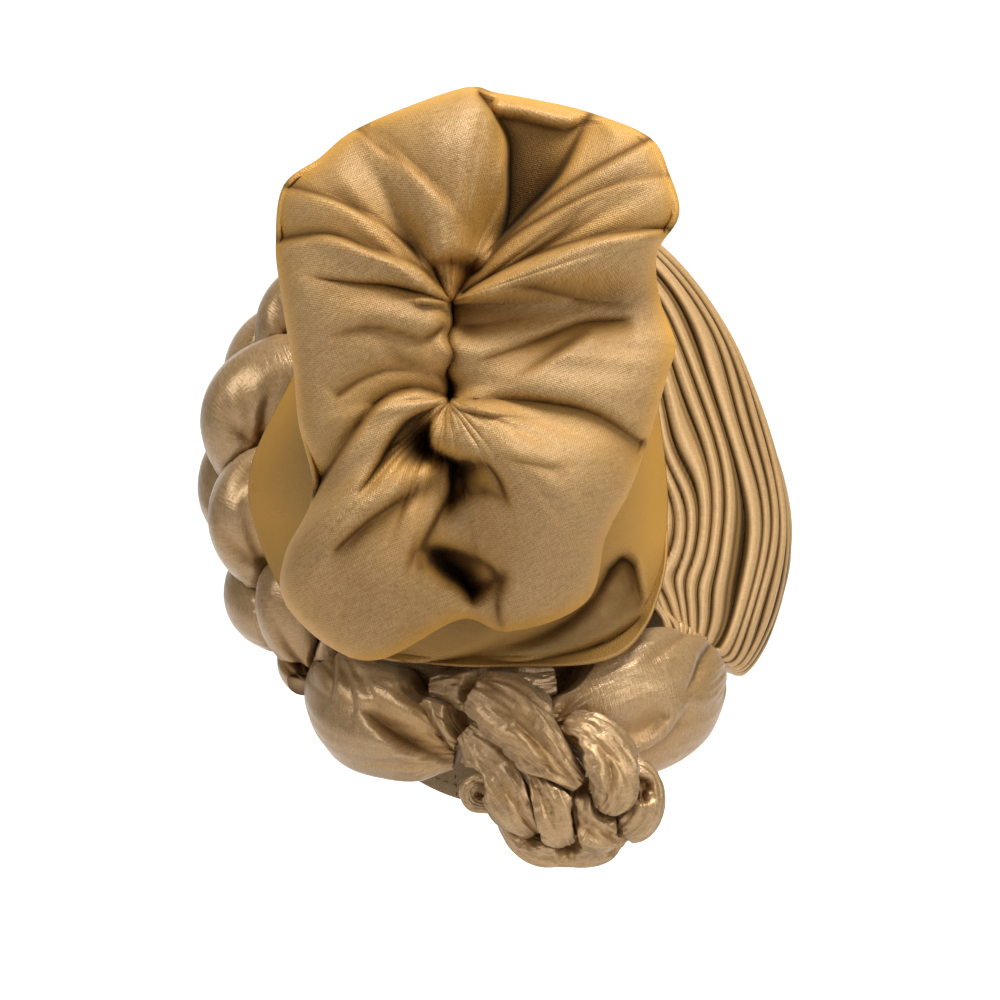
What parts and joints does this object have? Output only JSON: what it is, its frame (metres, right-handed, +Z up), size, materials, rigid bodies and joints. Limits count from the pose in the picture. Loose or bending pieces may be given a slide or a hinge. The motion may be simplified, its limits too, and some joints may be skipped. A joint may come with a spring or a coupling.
{
  "type": "tied gele head tie",
  "caption": "Ready-tied taffeta head tie: a large gathered ruffle at the rear, a pleated fan on one side, a thick plaited braid on the other, puffed nape rolls and a knot.",
  "frame": {"origin": "centre of the wearer's head on the hat line, where the head seats in the cap", "axes": "+Z up out of the crown, +Y the way the wearer faces, +X the wearer's right"},
  "size_m": [0.2861, 0.2866, 0.336],
  "materials": {
    "cap_cloth": "matt woven cotton",
    "pleat_satin": "shot satin with a golden sheen",
    "roll_satin": "taupe satin with sharp highlights",
    "ruffle_taffeta": "shot taffeta, beige face and golden edges"
  },
  "bodies": {
    "root": {"inner_cap": "cap_cloth", "crown_wrap": "ruffle_taffeta", "pleated_fan": "pleat_satin", "braid_strand_a": "roll_satin", "braid_strand_b": "roll_satin", "braid_strand_c": "roll_satin", "nape_roll_left": "roll_satin", "nape_roll_right": "roll_satin", "under_band": "roll_satin", "knot_band": "roll_satin", "knot_upper_loop": "roll_satin", "knot_side_loop": "roll_satin", "knot_leaf_left": "roll_satin", "knot_leaf_middle": "roll_satin", "knot_leaf_right": "roll_satin", "knot_lower_loop": "roll_satin", "knot_curl": "roll_satin", "back_panel": "ruffle_taffeta", "ruffle": "ruffle_taffeta"}
  },
  "joints": []
}
